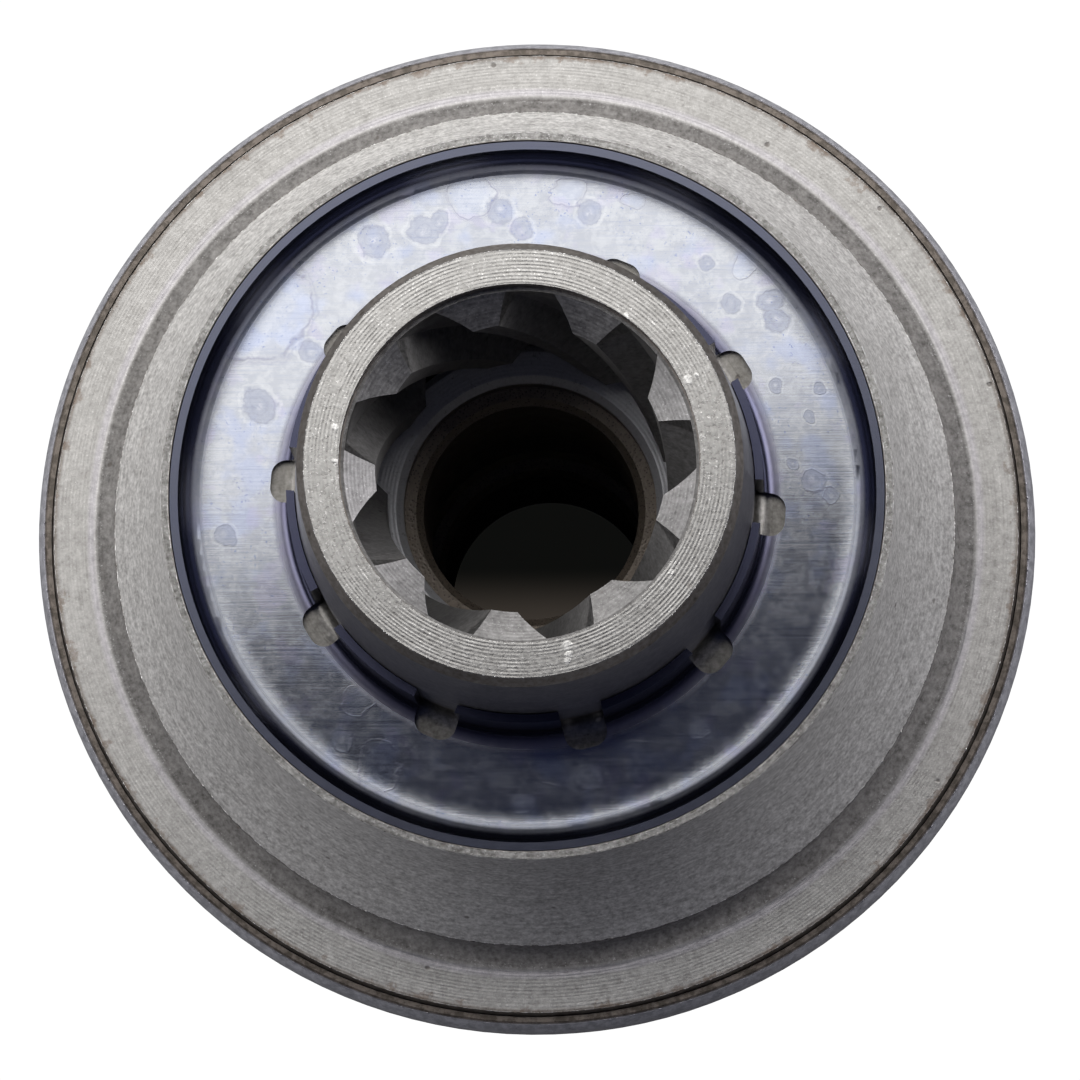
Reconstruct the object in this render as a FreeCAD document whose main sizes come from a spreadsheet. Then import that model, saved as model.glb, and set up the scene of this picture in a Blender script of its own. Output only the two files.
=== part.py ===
"""Starter drive with a roller overrunning clutch, standing on the nose of its pinion.

The axis is Z and the sleeve points up. Lengths are millimetres, angles are degrees.
"""
import FreeCAD, Part
import math
import os
import re

import Sketcher

# Driving dimensions: alias, value, what it is
SIZES = [
    ("play", 0.06, "gap between pieces that sit in each other"),
    ("run_gap", 0.3, "gap round pieces that turn"),
    ("edge_break", 0.4, "small turned chamfers"),

    ("module_size", 2.5, "pinion tooth module"),
    ("teeth", 10, "pinion teeth"),
    ("tooth_shift", 0.5, "profile shift of the pinion teeth, in modules"),
    ("addendum", 0.5, "height of the stub teeth above the shifted pitch line, in modules"),
    ("flank_r", 5.1, "radius that stands for the curved tooth flank"),
    ("foot_gap_angle", 5.8, "half angle of a tooth gap at its root"),
    ("tip_gap_angle", 13.9, "half angle of a tooth gap just past the tooth tips"),
    ("gear_length", 14.0, "length of the pinion teeth"),
    ("nose_bevel", 1.6, "lead-in bevel on the nose of the teeth"),
    ("neck_wall", 3.15, "wall of the neck behind the teeth"),
    ("neck_length", 4.5, "neck between the teeth and the cover"),
    ("grease_groove", 0.4, "depth of the grease space between the bushes"),
    ("bush_bore_r", 6.1, "running bore for the shaft"),
    ("bush_wall", 1.05, "wall of the bushes"),
    ("bush_length", 13.0, "length of each bush"),
    ("bush_inset", 1.8, "how deep each bush sits behind the end of its bore"),
    ("race_shoulder", 4.7, "how far the inner race stands out from the tail"),
    ("tail_clearance", 0.5, "gap between the tail and the bore round it"),
    ("tail_drop", 1.5, "gap between the tail's end and the splines"),

    ("cover_wall", 0.7, "sheet of the cover"),
    ("cover_step", 1.6, "how far the middle of the cover stands forward"),
    ("cover_corner", 2.6, "outer corner radius of the cover"),
    ("lip_roll", 0.58, "how far the cover's edge is rolled in"),
    ("lip_height", 1.4, "height of the rolled edge"),
    ("lip_drop", 0.7, "how far the rolled edge ends below the flat ring"),
    ("washer_lap", 4.2, "how far the split washer stands past the race"),
    ("half_washer_t", 1.5, "thickness of the split washer"),
    ("half_washer_cut", 3.0, "angle missing between the two halves"),
    ("plate_t", 1.1, "thickness of the cover plate"),

    ("roller_count", 5, "rollers in the clutch"),
    ("roller_r", 4.0, "roller radius"),
    ("roller_length", 11.5, "roller length"),
    ("roller_play", 0.1, "gap between roller, race and ramp"),
    ("roller_travel", 1.0, "how far a roller backs out of its wedge"),
    ("ramp_angle", 7.0, "slope of the ramp against the race"),
    ("cell_phase", 18.0, "angle of the first roller"),
    ("narrow_gap", 0.6, "gap behind a wedged roller"),
    ("narrow_corner", 1.5, "corner radius at the narrow end of a pocket"),
    ("pocket_overrun", 2.6, "how far a pocket opens past the roller towards the axis"),
    ("plunger_r", 2.1, "plunger radius"),
    ("plunger_length", 3.6, "plunger length"),
    ("plunger_wall", 0.55, "wall of the plunger"),
    ("plunger_face", 1.0, "thickness of the plunger's face"),
    ("spring_room", 4.9, "bore left for the spring behind the plunger"),
    ("spring_wire_r", 0.22, "radius of the spring wire"),
    ("spring_turns", 5.5, "turns of each clutch spring"),

    ("race_clearance", 0.4, "gap between the inner race and the lands of the outer race"),
    ("race_wall", 5.5, "metal outside the rollers"),
    ("race_roof", 1.92, "metal between the rollers and the flat ring"),
    ("driver_bevel", 0.9, "bevel at the front of the driver, clear of the cover's corner"),
    ("flange_step", 0.64, "how far the driver's flange stands out, held by the lip"),
    ("flange_height", 1.6, "height of that flange"),
    ("ring_taper", 0.31, "how far the flange tapers in under the lip"),
    ("ring_taper_height", 1.4, "height of that taper"),
    ("ring_width", 3.7, "flat ring with its fillet, up to the step"),
    ("step_fillet", 1.4, "hollow fillet at the foot of the step"),
    ("step_height", 2.0, "height of the step"),
    ("hub_height", 14.0, "height of the flared hub above the step"),
    ("rim_wall", 0.4, "wall left at the edge of the recess"),
    ("recess_corner", 1.0, "corner radius of the recess"),
    ("root_fillet", 1.0, "fillet between the sleeve and the floor of the recess"),
    ("sleeve_height", 14.5, "sleeve above the floor of the cup"),
    ("sleeve_wall", 2.32, "wall of the sleeve at its end"),
    ("sleeve_taper", 0.55, "how much the sleeve widens down to the fingers"),
    ("sleeve_bevel", 0.45, "width of the bevel at the sleeve's end"),
    ("sleeve_bevel_height", 0.7, "height of that bevel"),
    ("counterbore_step", 0.24, "step from the spline gaps out to the counterbore"),
    ("counterbore_depth", 1.0, "depth of the counterbore"),

    ("spline_count", 9, "helical splines"),
    ("spline_tip_r", 7.9, "inner circle of the splines"),
    ("spline_depth", 1.66, "depth of the spline gaps"),
    ("spline_length", 16.0, "length of the splines"),
    ("spline_lead", 120.0, "lead of the right-hand helix"),
    ("spline_top_angle", 6.75, "angle of a gap where the splines begin"),
    ("gap_root_angle", 16.0, "width of a gap at its root"),
    ("gap_tip_angle", 29.7, "width of a gap at the tips"),
    ("lead_in", 1.0, "height of the cone turned on the spline ends"),
    ("relief_bevel", 1.0, "bevel at the lower end of the splines"),

    ("cup_sheet", 0.45, "sheet of the cup"),
    ("cup_depth", 2.0, "depth of the cup's floor below the edge of the recess"),
    ("cup_floor_width", 4.3, "flat floor between the two bends"),
    ("cup_bend", 1.08, "inside radius of the cup's outer bend"),
    ("cup_inset", 0.15, "how far the cup's wall ends below the edge of the recess"),
    ("finger_count", 10, "fingers round the sleeve"),
    ("finger_bend", 0.9, "radius of the bend at the root of the fingers"),
    ("finger_height", 5.6, "height of the fingers above the floor"),
    ("slot_width", 2.4, "width of the slots between the fingers"),
    ("slot_reach", 0.34, "how far the slots run past the bend into the floor"),
    ("slot_corner", 0.85, "corner radius at the end of a slot"),
    ("slot_phase", -4.2, "angle of the first slot"),
]

# Sizes that follow from others: alias, formula, what it is
DERIVED = [
    ("pitch_r", "module_size * teeth / 2", "pitch circle of the pinion"),
    ("tooth_tip_r", "pitch_r + module_size * (addendum + tooth_shift)", "outside of the pinion"),
    ("tooth_root_r", "pitch_r - module_size * (1.25 - tooth_shift)", "root circle of the pinion"),
    ("pinion_bore_r", "bush_bore_r + bush_wall", "bore that holds the bushes"),
    ("neck_r", "pinion_bore_r + neck_wall", "neck behind the teeth"),
    ("spline_root_r", "spline_tip_r + spline_depth", "outer circle of the spline gaps"),
    ("counterbore_r", "spline_root_r + counterbore_step", "counterbore, and bore below the splines"),
    ("tail_r", "counterbore_r - tail_clearance", "tail of the pinion inside the sleeve"),
    ("race_r", "tail_r + race_shoulder", "inner race on the pinion"),
    ("race_bore_r", "race_r + race_clearance", "bore of the outer race between the pockets"),
    ("driver_r", "race_r + 2 * roller_r + race_wall", "outside of the driver under the cover"),
    ("wall_r", "driver_r + play + cover_wall", "outside of the cover's wall"),
    ("flange_r", "driver_r + flange_step", "outside of the driver's flange"),
    ("cover_r", "flange_r + play + cover_wall", "bead of the cover, the largest radius"),
    ("lip_r", "cover_r - lip_roll", "outer edge of the lip at its top"),
    ("ring_r", "flange_r - ring_taper", "outer edge of the flat ring"),
    ("step_r", "ring_r - ring_width", "top edge of the step"),
    ("cover_hole_r", "race_r + run_gap", "hole in the front of the cover"),
    ("half_washer_r", "race_r + washer_lap", "outside of the split washer"),
    ("cover_boss_r", "half_washer_r + cover_wall", "flat middle of the cover"),
    ("sleeve_end_r", "counterbore_r + sleeve_wall", "sleeve just below its end bevel"),
    ("sleeve_root_r", "sleeve_end_r + sleeve_taper", "sleeve at the fingers"),
    ("finger_in_r", "sleeve_root_r + play", "inner face of the fingers"),
    ("bend_x", "finger_in_r + cup_sheet + finger_bend", "centre of the finger bend"),
    ("slot_end_r", "bend_x + slot_reach", "outer end of the slots"),
    ("cup_r", "bend_x + cup_floor_width + cup_bend + cup_sheet", "outside of the cup"),
    ("recess_r", "cup_r + play", "recess for the cup"),
    ("rim_r", "recess_r + rim_wall", "outside of the hub at its edge"),

    ("cover_z", "gear_length + neck_length", "front face of the cover"),
    ("washer_z", "cover_z + cover_wall + play", "lower face of the split washer"),
    ("plate_z", "washer_z + half_washer_t + play", "lower face of the cover plate"),
    ("race_z", "washer_z + half_washer_t + run_gap / 2", "shoulder of the inner race"),
    ("front_z", "plate_z + plate_t + play", "front face of the driver"),
    ("roller_z", "front_z + roller_length / 2 + run_gap", "middle of the rollers"),
    ("chamber_z", "roller_z + roller_length / 2 + run_gap", "top of the roller chamber"),
    ("race_top_z", "chamber_z - run_gap", "top of the inner race"),
    ("ring_z", "chamber_z + race_roof", "flat ring"),
    ("crimp_z", "ring_z - ring_taper_height", "where the flange starts to taper"),
    ("flange_z", "crimp_z - flange_height", "lower edge of the flange"),
    ("lip_z", "ring_z - lip_drop", "top of the rolled edge"),
    ("lip_start_z", "lip_z - lip_height", "where the edge of the cover starts to roll in"),
    ("step_z", "ring_z + step_height", "top edge of the step"),
    ("rim_z", "step_z + hub_height", "edge of the recess"),
    ("cup_floor_z", "rim_z - cup_depth", "upper face of the cup's floor"),
    ("cup_top_z", "rim_z - cup_inset", "edge of the cup's wall"),
    ("cup_seat_z", "cup_floor_z - cup_sheet - play", "floor of the recess"),
    ("bend_z", "cup_floor_z + finger_bend", "height of the finger bend's centre"),
    ("finger_top_z", "cup_floor_z + finger_height", "tips of the fingers"),
    ("sleeve_z", "cup_floor_z + sleeve_height", "end face of the sleeve"),
    ("spline_top_z", "sleeve_z - counterbore_depth", "upper end of the splines"),
    ("spline_end_z", "spline_top_z - spline_length", "lower end of the splines"),
    ("tail_top_z", "spline_end_z - tail_drop", "end of the tail"),

    ("roller_orbit", "race_r + roller_play + roller_r", "circle of the roller centres"),
    ("pocket_reach", "roller_r + pocket_overrun", "inner end of a pocket from the roller's centre"),
    ("plunger_x", "roller_r + roller_play", "face of the plunger from the roller's centre"),
    ("plunger_bore_r", "plunger_r + play", "bore of the plunger and its spring"),
    ("spring_bore_end", "plunger_x + plunger_length + spring_room", "end of that bore"),
    ("spring_x", "plunger_x + plunger_face + spring_wire_r + play", "start of the spring"),
    ("spring_length", "spring_bore_end - spring_wire_r - play - spring_x", "length of the spring"),
    ("coil_r", "plunger_r - plunger_wall - spring_wire_r - play", "middle radius of the spring"),
    ("flare_rise", "rim_z - step_z", "height of the hub's flare"),
    ("flare_run", "step_r - rim_r", "width of the hub's flare"),
    ("flare_r", "(flare_run ^ 2 + flare_rise ^ 2) / (2 * flare_run)", "radius of the hub's flare"),

    ("mm_per_degree", "spline_lead / 360", "rise of the helix for each degree"),
    ("gap_cut_r", "spline_tip_r - 0.4", "where the gap cutter ends towards the axis"),
    ("gap_cut_angle", "gap_tip_angle + (gap_tip_angle - gap_root_angle)"
     " * (spline_tip_r - gap_cut_r) / (spline_root_r - spline_tip_r)", "its width there"),
    ("gap_cut_half", "gap_cut_angle / 2 * mm_per_degree", "half its length along the axis"),
    ("cutter_z", "spline_end_z - gap_cut_half", "where the gap cutter starts"),
    ("cutter_travel", "sleeve_z + gap_cut_half - cutter_z", "how far the gap cutter runs"),
    ("cutter_angle", "spline_top_angle - (spline_top_z - cutter_z) / mm_per_degree",
     "angle of the gap cutter at its start"),
]

doc = FreeCAD.newDocument("StarterDrive")
sheet = doc.addObject("Spreadsheet::Sheet", "Sizes")
for row, (alias, value, note) in enumerate(SIZES + DERIVED, start=1):
    sheet.set(f"A{row}", note)
    sheet.set(f"B{row}", f"={value}" if isinstance(value, str) else str(value))
    sheet.setAlias(f"B{row}", alias)
doc.recompute()
ALIASES = {alias for alias, value, note in SIZES + DERIVED}


def bound(text):
    """The expression with each size's name turned into a reference to the sheet."""
    def refer(match):
        word = match.group(0)
        return f"Sizes.{word}" if word in ALIASES else word
    return re.sub(r"[a-z_][a-z_0-9]*", refer, str(text))


def number(text):
    """The present value of an expression in the sizes."""
    value = sheet.evalExpression(bound(text))
    return float(getattr(value, "Value", value))


def bind(thing, **expressions):
    """Tie properties to expressions; a double underscore stands for a dot in the path."""
    for path, text in expressions.items():
        thing.setExpression(path.replace("__", "."), bound(text))


def origin_feature(body, role):
    """The body's own plane or axis with this role."""
    return next(f for f in body.Origin.OriginFeatures if f.Role == role)


def sketch_on(body, plane, name):
    """A sketch on one of the body's origin planes."""
    sketch = body.newObject("Sketcher::SketchObject", name)
    sketch.AttachmentSupport = [(origin_feature(body, plane), "")]
    sketch.MapMode = "FlatFace"
    return sketch


def hold(sketch, kind, where, text):
    """Add one driving constraint and tie it to its expression."""
    index = sketch.addConstraint(Sketcher.Constraint(kind, *where, number(text)))
    sketch.renameConstraint(index, f"{kind}_{index}")
    sketch.setExpression(f"Constraints.{kind}_{index}", bound(text))


def pin_point(sketch, edge, end, x, y):
    """Hold an edge's end at (x, y). A zero puts it on the axis instead."""
    if number(x) == 0.0:
        sketch.addConstraint(Sketcher.Constraint("PointOnObject", edge, end, -2))
    else:
        hold(sketch, "DistanceX", (-1, 1, edge, end), x)
    if number(y) == 0.0:
        sketch.addConstraint(Sketcher.Constraint("PointOnObject", edge, end, -1))
    else:
        hold(sketch, "DistanceY", (-1, 1, edge, end), y)


def outline(sketch, points):
    """Draw a closed outline through points (x, y) or (x, y, radius, side).

    A radius makes the edge that arrives at the point an arc, whose centre lies on the left
    or the right of the way from the point before.
    """
    corners = [FreeCAD.Vector(number(p[0]), number(p[1]), 0) for p in points]
    ends = []
    for i, point in enumerate(points):
        start, stop = corners[i - 1], corners[i]
        if len(point) == 2:
            sketch.addGeometry(Part.LineSegment(start, stop), False)
            ends.append((1, 2))
            continue
        radius, left = number(point[2]), point[3] == "left"
        chord = stop - start
        across = FreeCAD.Vector(-chord.y, chord.x, 0) / chord.Length
        height = math.sqrt(max(radius ** 2 - (chord.Length / 2) ** 2, 0.0))
        centre = (start + stop) / 2 + across * (height if left else -height)
        first, last = (start, stop) if left else (stop, start)
        angles = [math.atan2(p.y - centre.y, p.x - centre.x) for p in (first, last)]
        circle = Part.Circle(centre, FreeCAD.Vector(0, 0, 1), radius)
        sketch.addGeometry(Part.ArcOfCircle(circle, *angles), False)
        ends.append((1, 2) if left else (2, 1))
    for i, point in enumerate(points):
        after = (i + 1) % len(points)
        meet = (i, ends[i][1], after, ends[after][0])
        sketch.addConstraint(Sketcher.Constraint("Coincident", *meet))
        pin_point(sketch, i, ends[i][1], point[0], point[1])
        if len(point) > 2:
            hold(sketch, "Radius", (i,), point[2])


def turned(name, points, axis="V_Axis"):
    """A body turned from an outline: about the upright axis, or about X with H_Axis."""
    body = doc.addObject("PartDesign::Body", name)
    section = sketch_on(body, "XZ_Plane" if axis == "V_Axis" else "XY_Plane", f"{name}_section")
    outline(section, points)
    turning = body.newObject("PartDesign::Revolution", f"{name}_turning")
    turning.Profile = section
    turning.ReferenceAxis = (section, [axis])
    turning.Angle = 360
    section.Visibility = False
    return body


def pocket(body, sketch, depth):
    """Cut the sketch's outline into the body, along the sketch's normal."""
    cut = body.newObject("PartDesign::Pocket", f"{sketch.Name}_cut")
    cut.Profile = sketch
    cut.Type = "Length"
    cut.Reversed = True
    bind(cut, Length=depth)
    return cut


def around(body, features, count):
    """Repeat features evenly round the axis."""
    pattern = body.newObject("PartDesign::PolarPattern", f"{features[-1].Name}_round")
    pattern.Originals = features
    pattern.Axis = (origin_feature(body, "Z_Axis"), [""])
    pattern.Angle = 360
    bind(pattern, Occurrences=count)
    body.Tip = pattern
    return pattern


def cylinder(name, radius, low, length):
    """A plain cylinder on the axis."""
    solid = doc.addObject("Part::Cylinder", name)
    bind(solid, Radius=radius, Height=length, Placement__Base__z=low)
    return solid


def ring(name, outer, inner, low, length):
    """A flat ring: a disc with a round hole through it."""
    disc = cylinder(f"{name}_disc", outer, low, length)
    hole = cylinder(f"{name}_hole", inner, f"{low} - 1", f"{length} + 2")
    cut = doc.addObject("Part::Cut", name)
    cut.Base = disc
    cut.Tool = hole
    return cut


def make_clutch_driver():
    """Sleeve, hub and outer race in one forging."""
    body = turned("clutch_driver", [
        ("race_bore_r", "front_z + edge_break"),
        ("race_bore_r + edge_break", "front_z"),
        ("driver_r - driver_bevel", "front_z"),
        ("driver_r", "front_z + driver_bevel"),
        ("driver_r", "flange_z - flange_step"),
        ("flange_r", "flange_z"),
        ("flange_r", "crimp_z"),
        ("ring_r", "ring_z"),
        ("step_r + step_fillet", "ring_z"),
        ("step_r", "ring_z + step_fillet", "step_fillet", "right"),
        ("step_r", "step_z"),
        ("rim_r", "rim_z", "flare_r", "right"),
        ("recess_r", "rim_z"),
        ("recess_r", "cup_seat_z + recess_corner"),
        ("recess_r - recess_corner", "cup_seat_z", "recess_corner", "right"),
        ("sleeve_root_r + root_fillet", "cup_seat_z"),
        ("sleeve_root_r", "cup_seat_z + root_fillet", "root_fillet", "right"),
        ("sleeve_root_r", "finger_top_z"),
        ("sleeve_end_r", "sleeve_z - sleeve_bevel_height"),
        ("sleeve_end_r - sleeve_bevel", "sleeve_z"),
        ("counterbore_r", "sleeve_z"),
        ("counterbore_r", "spline_top_z"),
        ("spline_root_r", "spline_top_z"),
        ("spline_tip_r", "spline_top_z - lead_in"),
        ("spline_tip_r", "spline_end_z + relief_bevel"),
        ("counterbore_r", "spline_end_z"),
        ("counterbore_r", "chamber_z"),
        ("race_bore_r", "chamber_z"),
    ])
    cut_spline_gaps(body)
    cut_roller_pockets(body)
    return body


def cut_spline_gaps(body):
    """Helical gaps: the gap's section in a plane through the axis, carried along the helix."""
    gap = sketch_on(body, "XZ_Plane", "spline_gap")
    gap.AttachmentOffset = FreeCAD.Placement(
        FreeCAD.Vector(0, 0, 0), FreeCAD.Rotation(FreeCAD.Vector(0, 1, 0), number("cutter_angle")))
    bind(gap, AttachmentOffset__Rotation__Angle="cutter_angle")
    outline(gap, [
        ("gap_cut_r", "cutter_z - gap_cut_half"),
        ("spline_root_r", "cutter_z - gap_root_angle / 2 * mm_per_degree"),
        ("spline_root_r", "cutter_z + gap_root_angle / 2 * mm_per_degree"),
        ("gap_cut_r", "cutter_z + gap_cut_half"),
    ])
    helix = body.newObject("PartDesign::SubtractiveHelix", "spline_gap_cut")
    helix.Profile = gap
    helix.ReferenceAxis = (gap, ["V_Axis"])
    helix.Mode = "pitch-height-angle"
    helix.LeftHanded = False
    bind(helix, Pitch="spline_lead", Height="cutter_travel")
    helix.Refine = False  # refined, the driver loses one of the gaps
    around(body, [helix], "spline_count")


def cut_roller_pockets(body):
    """Pockets with their ramps, and the bores for plungers and springs beside them.

    In the sketch the origin is the roller's centre, x runs along the ramp towards the spring
    and y runs towards the axis.
    """
    shape = sketch_on(body, "XY_Plane", "roller_pocket")
    turn = FreeCAD.Rotation(FreeCAD.Vector(0, 0, 1), number("cell_phase + 90 - ramp_angle"))
    shape.AttachmentOffset = FreeCAD.Placement(FreeCAD.Vector(0, 0, 0), turn)
    bind(shape, AttachmentOffset__Base__x="roller_orbit * cos(cell_phase)",
         AttachmentOffset__Base__y="roller_orbit * sin(cell_phase)",
         AttachmentOffset__Base__z="front_z - 1",
         AttachmentOffset__Rotation__Angle="cell_phase + 90 - ramp_angle")
    outline(shape, [
        ("-(roller_r + narrow_gap)", "pocket_reach"),
        ("-(roller_r + narrow_gap)", "-(roller_r + roller_play - narrow_corner)"),
        ("-(roller_r + narrow_gap - narrow_corner)", "-(roller_r + roller_play)",
         "narrow_corner", "left"),
        ("roller_r + roller_travel + narrow_gap", "-(roller_r + roller_play)"),
        ("roller_r + roller_travel + narrow_gap", "pocket_reach"),
    ])
    pockets = pocket(body, shape, "chamber_z - front_z + 1")

    mouth = sketch_on(body, "YZ_Plane", "spring_bore")
    turn = FreeCAD.Rotation(FreeCAD.Vector(0, 1, 0), number("cell_phase + 90 - ramp_angle"))
    mouth.AttachmentOffset = FreeCAD.Placement(FreeCAD.Vector(0, 0, 0), turn)
    bind(mouth, AttachmentOffset__Base__x="roller_orbit * sin(cell_phase)",
         AttachmentOffset__Base__y="roller_z",
         AttachmentOffset__Base__z="roller_orbit * cos(cell_phase)",
         AttachmentOffset__Rotation__Angle="cell_phase + 90 - ramp_angle")
    circle = Part.Circle(FreeCAD.Vector(0, 0, 0), FreeCAD.Vector(0, 0, 1), number("plunger_bore_r"))
    mouth.addGeometry(circle, False)
    mouth.addConstraint(Sketcher.Constraint("Coincident", 0, 3, -1, 1))
    hold(mouth, "Radius", (0,), "plunger_bore_r")
    bores = pocket(body, mouth, "spring_bore_end")
    around(body, [pockets, bores], "roller_count")


def make_pinion():
    """Gear, neck, inner race and tail in one piece."""
    body = turned("pinion", [
        ("pinion_bore_r", "edge_break"),
        ("pinion_bore_r + edge_break", "0"),
        ("tooth_tip_r - nose_bevel", "0"),
        ("tooth_tip_r", "nose_bevel"),
        ("tooth_tip_r", "gear_length - edge_break"),
        ("tooth_tip_r - edge_break", "gear_length"),
        ("neck_r", "gear_length"),
        ("neck_r", "race_z"),
        ("race_r - edge_break", "race_z"),
        ("race_r", "race_z + edge_break"),
        ("race_r", "race_top_z - edge_break"),
        ("race_r - edge_break", "race_top_z"),
        ("tail_r", "race_top_z"),
        ("tail_r", "tail_top_z - edge_break"),
        ("tail_r - edge_break", "tail_top_z"),
        ("pinion_bore_r + edge_break", "tail_top_z"),
        ("pinion_bore_r", "tail_top_z - edge_break"),
        ("pinion_bore_r", "tail_top_z - bush_inset - bush_length"),
        ("pinion_bore_r + grease_groove", "tail_top_z - bush_inset - bush_length - grease_groove"),
        ("pinion_bore_r + grease_groove", "bush_inset + bush_length + grease_groove"),
        ("pinion_bore_r", "bush_inset + bush_length"),
    ])
    gap = sketch_on(body, "XY_Plane", "tooth_gap")
    outline(gap, [
        ("tooth_root_r * cos(foot_gap_angle)", "-tooth_root_r * sin(foot_gap_angle)",
         "tooth_root_r * 1.6", "left"),
        ("(tooth_tip_r + 0.4) * cos(tip_gap_angle)", "-(tooth_tip_r + 0.4) * sin(tip_gap_angle)",
         "flank_r", "right"),
        ("tooth_tip_r + 1", "0"),
        ("(tooth_tip_r + 0.4) * cos(tip_gap_angle)", "(tooth_tip_r + 0.4) * sin(tip_gap_angle)"),
        ("tooth_root_r * cos(foot_gap_angle)", "tooth_root_r * sin(foot_gap_angle)",
         "flank_r", "right"),
    ])
    around(body, [pocket(body, gap, "gear_length")], "teeth")
    return body


def make_bush(name, low):
    """A plain bush pressed into the pinion."""
    return turned(name, [
        ("bush_bore_r", f"{low} + edge_break"),
        ("bush_bore_r + edge_break", f"{low}"),
        ("pinion_bore_r", f"{low}"),
        ("pinion_bore_r", f"{low} + bush_length"),
        ("bush_bore_r + edge_break", f"{low} + bush_length"),
        ("bush_bore_r", f"{low} + bush_length - edge_break"),
    ])


def make_cover_shell():
    """Drawn cover: stepped front, round corner, wall, bead, and an edge rolled in over the driver."""
    inside = "wall_r - cover_wall"
    shoulder = "(cover_z + cover_step)"
    offset = "cover_wall * tan(22.5)"
    bead = "(flange_z - play)"
    lip_inner = "flange_r - ring_taper * (lip_z - crimp_z) / ring_taper_height + play"
    lip_arc = "(lip_roll ^ 2 + lip_height ^ 2) / (2 * lip_roll)"
    return turned("cover_shell", [
        ("cover_hole_r", "cover_z"),
        ("cover_boss_r", "cover_z"),
        ("cover_boss_r + cover_step", shoulder),
        ("wall_r - cover_corner", shoulder),
        ("wall_r", f"{shoulder} + cover_corner", "cover_corner", "left"),
        ("wall_r", f"{bead} - flange_step - {offset}"),
        ("cover_r", f"{bead} - {offset}"),
        ("cover_r", "lip_start_z"),
        ("lip_r", "lip_z", lip_arc, "left"),
        (lip_inner, "lip_z"),
        ("cover_r - cover_wall", "crimp_z"),
        ("cover_r - cover_wall", bead),
        (inside, f"{bead} - flange_step"),
        (inside, f"{shoulder} + cover_corner"),
        ("wall_r - cover_corner", f"{shoulder} + cover_wall", "cover_corner - cover_wall", "right"),
        (f"cover_boss_r + cover_step - {offset}", f"{shoulder} + cover_wall"),
        (f"cover_boss_r - {offset}", "cover_z + cover_wall"),
        ("cover_hole_r", "cover_z + cover_wall"),
    ])


def make_retaining_cup():
    """Spring-steel cup: outer wall, flat floor, and fingers bent up round the sleeve."""
    body = turned("retaining_cup", [
        ("cup_r", "cup_top_z"),
        ("cup_r - cup_sheet", "cup_top_z"),
        ("cup_r - cup_sheet", "cup_floor_z + cup_bend"),
        ("cup_r - cup_sheet - cup_bend", "cup_floor_z", "cup_bend", "right"),
        ("bend_x", "cup_floor_z"),
        ("bend_x - finger_bend", "bend_z", "finger_bend", "right"),
        ("bend_x - finger_bend", "finger_top_z"),
        ("finger_in_r", "finger_top_z"),
        ("finger_in_r", "bend_z"),
        ("bend_x", "cup_floor_z - cup_sheet", "finger_bend + cup_sheet", "left"),
        ("cup_r - cup_sheet - cup_bend", "cup_floor_z - cup_sheet"),
        ("cup_r", "cup_floor_z + cup_bend", "cup_bend + cup_sheet", "left"),
    ])
    slot = sketch_on(body, "XY_Plane", "finger_slot")
    turn = FreeCAD.Rotation(FreeCAD.Vector(0, 0, 1), number("slot_phase"))
    slot.AttachmentOffset = FreeCAD.Placement(FreeCAD.Vector(0, 0, 0), turn)
    bind(slot, AttachmentOffset__Rotation__Angle="slot_phase",
         AttachmentOffset__Base__z="cup_floor_z - cup_sheet - 1")
    outline(slot, [
        ("finger_in_r - 1", "-slot_width / 2"),
        ("slot_end_r - slot_corner", "-slot_width / 2"),
        ("slot_end_r", "-slot_width / 2 + slot_corner", "slot_corner", "left"),
        ("slot_end_r", "slot_width / 2 - slot_corner"),
        ("slot_end_r - slot_corner", "slot_width / 2", "slot_corner", "left"),
        ("finger_in_r - 1", "slot_width / 2"),
    ])
    slots = pocket(body, slot, "finger_top_z - cup_floor_z + cup_sheet + 2")
    around(body, [slots], "finger_count")
    return body


def make_half_washer(index):
    """One half of the split washer round the pinion's neck."""
    name = f"half_washer_{index + 1}"
    half = ring(name, "half_washer_r", "neck_r + run_gap", "washer_z", "half_washer_t")
    bind(half.Base, Angle="180 - half_washer_cut",
         Placement__Rotation__Angle=f"180 * {index} + half_washer_cut / 2")
    return half


def in_cell(body, index):
    """Place a piece in a roller cell: origin at the roller's centre, x along the ramp."""
    angle = f"cell_phase + {index} * 360 / roller_count"
    body.Placement.Rotation = FreeCAD.Rotation(FreeCAD.Vector(0, 0, 1), 1)
    bind(body, Placement__Base__x=f"roller_orbit * cos({angle})",
         Placement__Base__y=f"roller_orbit * sin({angle})",
         Placement__Base__z="roller_z",
         Placement__Rotation__Angle=f"{angle} + 90 - ramp_angle")
    return body


def make_roller(index):
    """A hardened roller with bevelled ends."""
    half = "roller_length / 2"
    return in_cell(turned(f"roller_{index + 1}", [
        ("0", f"-{half}"),
        ("roller_r - edge_break", f"-{half}"),
        ("roller_r", f"-{half} + edge_break"),
        ("roller_r", f"{half} - edge_break"),
        ("roller_r - edge_break", half),
        ("0", half),
    ]), index)


def make_plunger(index):
    """A thimble whose closed face presses on the roller."""
    return in_cell(turned(f"plunger_{index + 1}", [
        ("plunger_x", "0"),
        ("plunger_x", "plunger_r - edge_break"),
        ("plunger_x + edge_break", "plunger_r"),
        ("plunger_x + plunger_length", "plunger_r"),
        ("plunger_x + plunger_length", "plunger_r - plunger_wall"),
        ("plunger_x + plunger_face", "plunger_r - plunger_wall"),
        ("plunger_x + plunger_face", "0"),
    ], "H_Axis"), index)


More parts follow.
